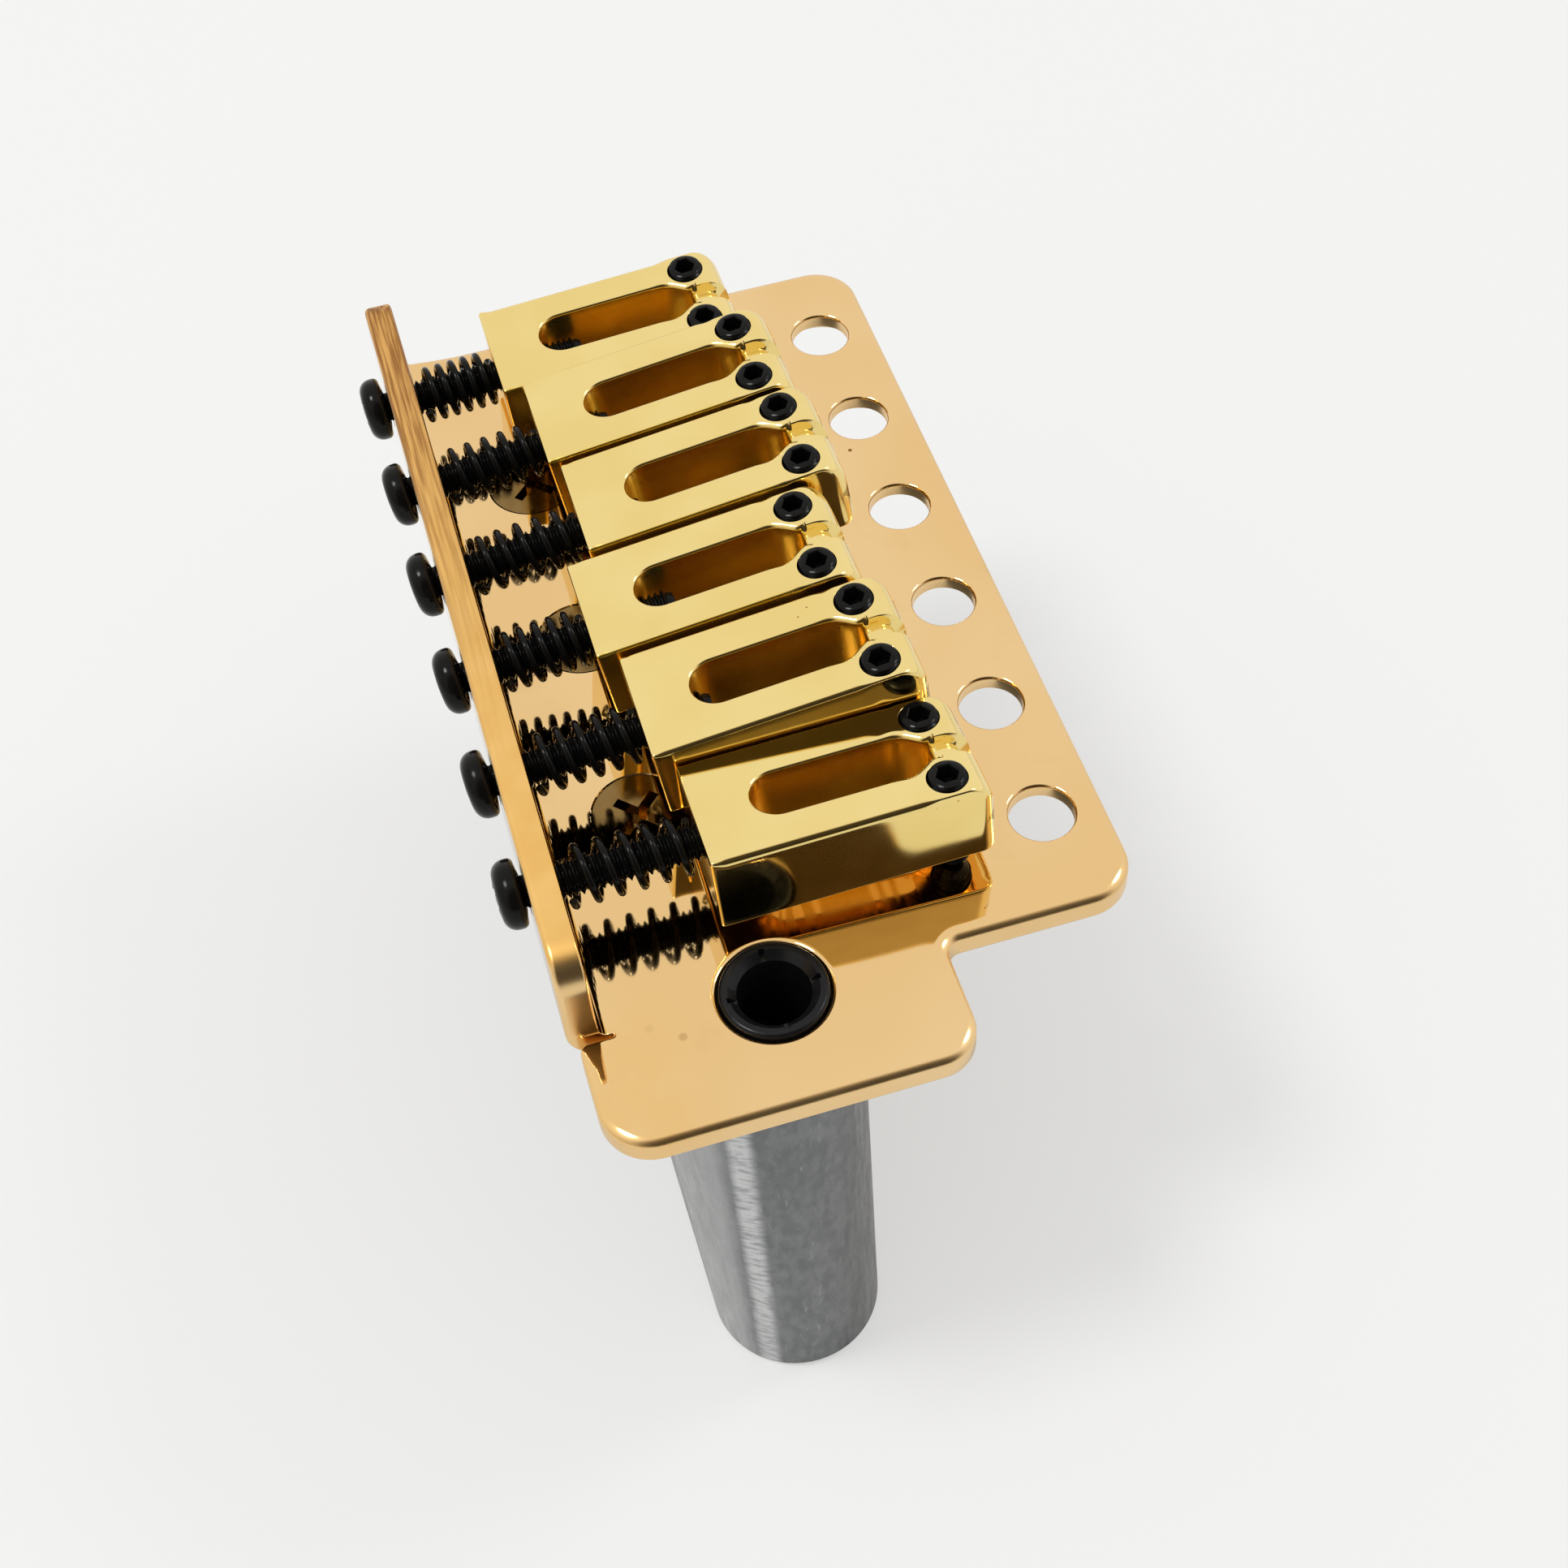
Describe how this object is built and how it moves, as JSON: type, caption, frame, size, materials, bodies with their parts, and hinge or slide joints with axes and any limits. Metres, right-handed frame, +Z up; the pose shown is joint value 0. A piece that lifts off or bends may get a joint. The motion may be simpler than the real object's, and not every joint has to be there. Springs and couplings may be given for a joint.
{
  "type": "guitar tremolo bridge",
  "caption": "Pivoting guitar bridge: a bent plate on a hanging block, with sprung, adjustable block saddles and a socket for the arm.",
  "frame": {"origin": "middle of the line of six pivot holes, on the plate's top face", "axes": "+X to the treble side, where the arm sits; +Y towards the guitar's neck; +Z up, out of the guitar"},
  "size_m": [0.0827, 0.0457, 0.0585],
  "materials": {
    "gold_plate": "polished, plated in pale gold",
    "saddle_gold": "polished, plated in yellow gold",
    "gold_screw": "plated in pale gold",
    "zinc": "satin grey die casting with fine machining marks",
    "black_plastic": "glossy black",
    "black_steel": "black oxide with a gloss",
    "black_spring": "black wire with a gloss"
  },
  "bodies": {
    "bridge": {"base_plate": "gold_plate", "tremolo_block": "zinc", "block_screws": "gold_screw", "arm_bush": "black_plastic"},
    "spring_1": {"intonation_spring_1": "black_spring"},
    "screw_1": {"intonation_screw_1": "black_steel"},
    "saddle_1": {"saddle_1": "saddle_gold"},
    "height_1_bass": {"height_screw_1_bass": "black_steel"},
    "height_1_treble": {"height_screw_1_treble": "black_steel"},
    "spring_2": {"intonation_spring_2": "black_spring"},
    "screw_2": {"intonation_screw_2": "black_steel"},
    "saddle_2": {"saddle_2": "saddle_gold"},
    "height_2_bass": {"height_screw_2_bass": "black_steel"},
    "height_2_treble": {"height_screw_2_treble": "black_steel"},
    "spring_3": {"intonation_spring_3": "black_spring"},
    "screw_3": {"intonation_screw_3": "black_steel"},
    "saddle_3": {"saddle_3": "saddle_gold"},
    "height_3_bass": {"height_screw_3_bass": "black_steel"},
    "height_3_treble": {"height_screw_3_treble": "black_steel"},
    "spring_4": {"intonation_spring_4": "black_spring"},
    "screw_4": {"intonation_screw_4": "black_steel"},
    "saddle_4": {"saddle_4": "saddle_gold"},
    "height_4_bass": {"height_screw_4_bass": "black_steel"},
    "height_4_treble": {"height_screw_4_treble": "black_steel"},
    "spring_5": {"intonation_spring_5": "black_spring"},
    "screw_5": {"intonation_screw_5": "black_steel"},
    "saddle_5": {"saddle_5": "saddle_gold"},
    "height_5_bass": {"height_screw_5_bass": "black_steel"},
    "height_5_treble": {"height_screw_5_treble": "black_steel"},
    "spring_6": {"intonation_spring_6": "black_spring"},
    "screw_6": {"intonation_screw_6": "black_steel"},
    "saddle_6": {"saddle_6": "saddle_gold"},
    "height_6_bass": {"height_screw_6_bass": "black_steel"},
    "height_6_treble": {"height_screw_6_treble": "black_steel"}
  },
  "joints": [
    {"name": "rise_1", "type": "hinge", "parent": "bridge", "child": "spring_1", "pos_m": [-0.02625, -0.03735, 0.005], "axis": [1, 0, 0], "range_deg": [-3.2, 4.8]},
    {"name": "turn_1", "type": "hinge", "parent": "spring_1", "child": "screw_1", "pos_m": [-0.02625, -0.03735, 0.005], "axis": [0, 0.9979, 0.0645], "range_deg": [-3636, 1476]},
    {"name": "travel_1", "type": "slide", "parent": "spring_1", "child": "saddle_1", "axis": [0, 0.9979, 0.0645], "range_m": [-0.002, 0.005], "deforming": ["intonation_spring_1"]},
    {"name": "height_1_bass", "type": "slide", "parent": "saddle_1", "child": "height_1_bass", "axis": [0.0349, -0.0645, 0.9973], "range_m": [-0.00223, 0.00149]},
    {"name": "height_1_treble", "type": "slide", "parent": "saddle_1", "child": "height_1_treble", "axis": [0.0349, -0.0645, 0.9973], "range_m": [-0.00223, 0.00149]},
    {"name": "rise_2", "type": "hinge", "parent": "bridge", "child": "spring_2", "pos_m": [-0.01575, -0.03735, 0.005], "axis": [1, 0, 0], "range_deg": [-6.8, 1.2]},
    {"name": "turn_2", "type": "hinge", "parent": "spring_2", "child": "screw_2", "pos_m": [-0.01575, -0.03735, 0.005], "axis": [0, 0.9919, 0.1271], "range_deg": [-2196, 1476]},
    {"name": "travel_2", "type": "slide", "parent": "spring_2", "child": "saddle_2", "axis": [0, 0.9919, 0.1271], "range_m": [-0.002, 0.003], "deforming": ["intonation_spring_2"]},
    {"name": "height_2_bass", "type": "slide", "parent": "saddle_2", "child": "height_2_bass", "axis": [-0.0244, -0.127, 0.9916], "range_m": [-0.00061, 0.00345]},
    {"name": "height_2_treble", "type": "slide", "parent": "saddle_2", "child": "height_2_treble", "axis": [-0.0244, -0.127, 0.9916], "range_m": [-0.00061, 0.00345]},
    {"name": "rise_3", "type": "hinge", "parent": "bridge", "child": "spring_3", "pos_m": [-0.00525, -0.03735, 0.005], "axis": [1, 0, 0], "range_deg": [-7, 1]},
    {"name": "turn_3", "type": "hinge", "parent": "spring_3", "child": "screw_3", "pos_m": [-0.00525, -0.03735, 0.005], "axis": [0, 0.9914, 0.1305], "range_deg": [-1836, 1476]},
    {"name": "travel_3", "type": "slide", "parent": "spring_3", "child": "saddle_3", "axis": [0, 0.9914, 0.1305], "range_m": [-0.002, 0.0025], "deforming": ["intonation_spring_3"]},
    {"name": "height_3_bass", "type": "slide", "parent": "saddle_3", "child": "height_3_bass", "axis": [-0.0244, -0.1305, 0.9911], "range_m": [-0.00052, 0.00366]},
    {"name": "height_3_treble", "type": "slide", "parent": "saddle_3", "child": "height_3_treble", "axis": [-0.0244, -0.1305, 0.9911], "range_m": [-0.00052, 0.00366]},
    {"name": "rise_4", "type": "hinge", "parent": "bridge", "child": "spring_4", "pos_m": [0.00525, -0.03735, 0.005], "axis": [1, 0, 0], "range_deg": [-6.6, 1.4]},
    {"name": "turn_4", "type": "hinge", "parent": "spring_4", "child": "screw_4", "pos_m": [0.00525, -0.03735, 0.005], "axis": [0, 0.9923, 0.1236], "range_deg": [-3276, 1476]},
    {"name": "travel_4", "type": "slide", "parent": "spring_4", "child": "saddle_4", "axis": [0, 0.9923, 0.1236], "range_m": [-0.002, 0.0045], "deforming": ["intonation_spring_4"]},
    {"name": "height_4_bass", "type": "slide", "parent": "saddle_4", "child": "height_4_bass", "axis": [-0.0227, -0.1236, 0.9921], "range_m": [-0.00068, 0.0032]},
    {"name": "height_4_treble", "type": "slide", "parent": "saddle_4", "child": "height_4_treble", "axis": [-0.0227, -0.1236, 0.9921], "range_m": [-0.00068, 0.0032]},
    {"name": "rise_5", "type": "hinge", "parent": "bridge", "child": "spring_5", "pos_m": [0.01575, -0.03735, 0.005], "axis": [1, 0, 0], "range_deg": [-6, 2]},
    {"name": "turn_5", "type": "hinge", "parent": "spring_5", "child": "screw_5", "pos_m": [0.01575, -0.03735, 0.005], "axis": [0, 0.9936, 0.1132], "range_deg": [-2196, 1476]},
    {"name": "travel_5", "type": "slide", "parent": "spring_5", "child": "saddle_5", "axis": [0, 0.9936, 0.1132], "range_m": [-0.002, 0.003], "deforming": ["intonation_spring_5"]},
    {"name": "height_5_bass", "type": "slide", "parent": "saddle_5", "child": "height_5_bass", "axis": [-0.0157, -0.1132, 0.9934], "range_m": [-0.00102, 0.00306]},
    {"name": "height_5_treble", "type": "slide", "parent": "saddle_5", "child": "height_5_treble", "axis": [-0.0157, -0.1132, 0.9934], "range_m": [-0.00102, 0.00306]},
    {"name": "rise_6", "type": "hinge", "parent": "bridge", "child": "spring_6", "pos_m": [0.02625, -0.03735, 0.005], "axis": [1, 0, 0], "range_deg": [-1.3, 6.7]},
    {"name": "turn_6", "type": "hinge", "parent": "spring_6", "child": "screw_6", "pos_m": [0.02625, -0.03735, 0.005], "axis": [0, 0.9995, 0.0314], "range_deg": [-1476, 1476]},
    {"name": "travel_6", "type": "slide", "parent": "spring_6", "child": "saddle_6", "axis": [0, 0.9995, 0.0314], "range_m": [-0.002, 0.002], "deforming": ["intonation_spring_6"]},
    {"name": "height_6_bass", "type": "slide", "parent": "saddle_6", "child": "height_6_bass", "axis": [-0.1045, -0.0312, 0.994], "range_m": [-0.00349, 0.00068]},
    {"name": "height_6_treble", "type": "slide", "parent": "saddle_6", "child": "height_6_treble", "axis": [-0.1045, -0.0312, 0.994], "range_m": [-0.00349, 0.00068]}
  ],
  "couplings": [
    {"joint": "turn_1", "follows": "travel_1", "rad_per_m": -12566},
    {"joint": "height_1_bass", "follows": "rise_1", "m_per_rad": -0.026641},
    {"joint": "height_1_treble", "follows": "rise_1", "m_per_rad": -0.026641},
    {"joint": "turn_2", "follows": "travel_2", "rad_per_m": -12566},
    {"joint": "height_2_bass", "follows": "rise_2", "m_per_rad": -0.029043},
    {"joint": "height_2_treble", "follows": "rise_2", "m_per_rad": -0.029043},
    {"joint": "turn_3", "follows": "travel_3", "rad_per_m": -12566},
    {"joint": "height_3_bass", "follows": "rise_3", "m_per_rad": -0.029912},
    {"joint": "height_3_treble", "follows": "rise_3", "m_per_rad": -0.029912},
    {"joint": "turn_4", "follows": "travel_4", "rad_per_m": -12566},
    {"joint": "height_4_bass", "follows": "rise_4", "m_per_rad": -0.027767},
    {"joint": "height_4_treble", "follows": "rise_4", "m_per_rad": -0.027767},
    {"joint": "turn_5", "follows": "travel_5", "rad_per_m": -12566},
    {"joint": "height_5_bass", "follows": "rise_5", "m_per_rad": -0.029164},
    {"joint": "height_5_treble", "follows": "rise_5", "m_per_rad": -0.029164},
    {"joint": "turn_6", "follows": "travel_6", "rad_per_m": -12566},
    {"joint": "height_6_bass", "follows": "rise_6", "m_per_rad": -0.029843},
    {"joint": "height_6_treble", "follows": "rise_6", "m_per_rad": -0.029843}
  ]
}
